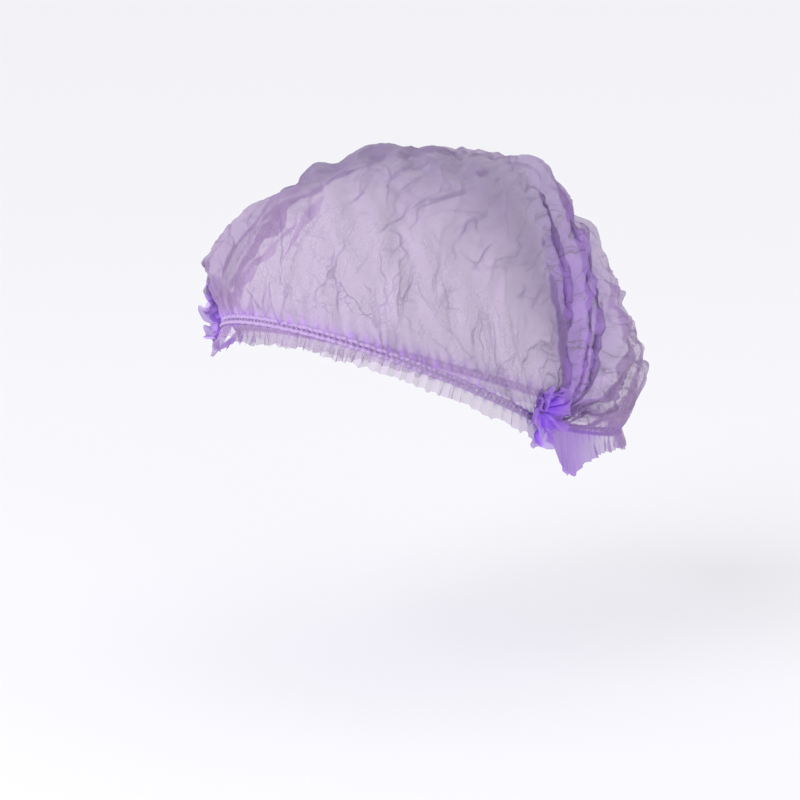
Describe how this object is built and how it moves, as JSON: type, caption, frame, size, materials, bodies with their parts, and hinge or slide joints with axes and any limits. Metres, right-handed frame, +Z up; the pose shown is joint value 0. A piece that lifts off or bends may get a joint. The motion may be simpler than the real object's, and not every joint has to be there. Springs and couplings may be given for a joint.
{
  "type": "disposable cap",
  "caption": "Worn-form disposable pleated cap: loose non-woven crown gathered to a tuft over each ear, with a double elastic and a ruffled frill along the front and back edges.",
  "frame": {"origin": "middle of the space for the head, level with the gathered tuft over the wearer's left ear", "axes": "+Z up, the wearer faces -Y, +X is the wearer's left"},
  "size_m": [0.191, 0.2306, 0.1491],
  "materials": {
    "nonwoven": "thin see-through spun-bonded polypropylene, lilac, crinkled from pleating",
    "gathered_nonwoven": "the same cloth gathered in many layers, deep lilac",
    "elastic": "covered elastic thread, pale lilac, sewn down with matching thread"
  },
  "bodies": {
    "root": {"crown": "nonwoven", "front_frill": "nonwoven", "back_frill": "nonwoven", "front_elastic": "elastic", "back_elastic": "elastic", "left_tuft": "gathered_nonwoven", "right_tuft": "gathered_nonwoven"}
  },
  "joints": []
}
